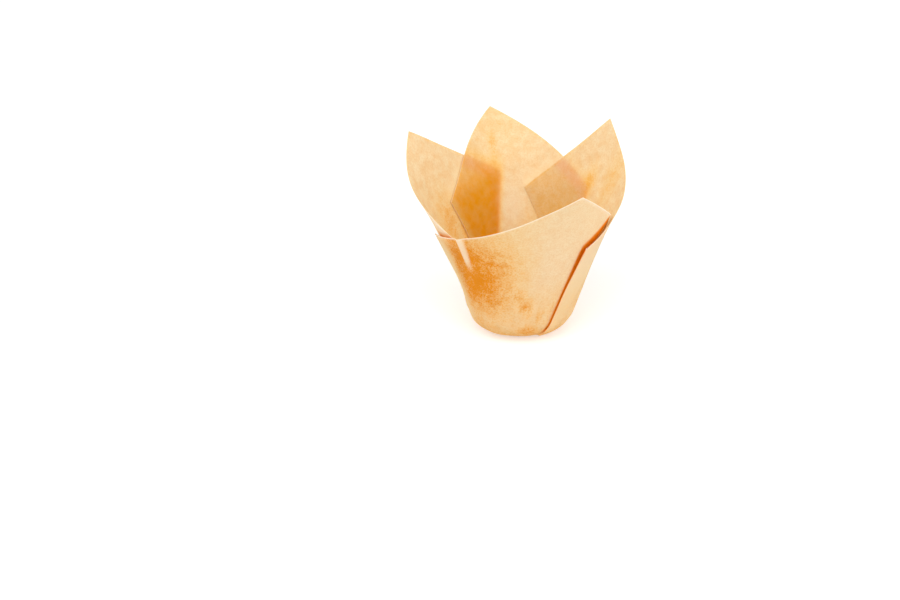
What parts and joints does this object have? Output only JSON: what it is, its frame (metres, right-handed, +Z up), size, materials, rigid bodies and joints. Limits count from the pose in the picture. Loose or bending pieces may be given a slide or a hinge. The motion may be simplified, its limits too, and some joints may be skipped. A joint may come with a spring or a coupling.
{
  "type": "cupcake liner",
  "caption": "Tulip cupcake liner folded from one square sheet of baking paper: round base, flared wall with overlapping pleats, tall pointed petals.",
  "frame": {"origin": "centre of the flat base, on its underside", "axes": "+Z up out of the cup; -Y is the side of the front petal, whose tip leans a little towards +X, and +X is to the right seen from -Y"},
  "size_m": [0.1013, 0.1224, 0.0895],
  "materials": {
    "paper": "matt tan baking paper, thin enough to let light through"
  },
  "bodies": {
    "root": {"liner": "paper"}
  },
  "joints": []
}
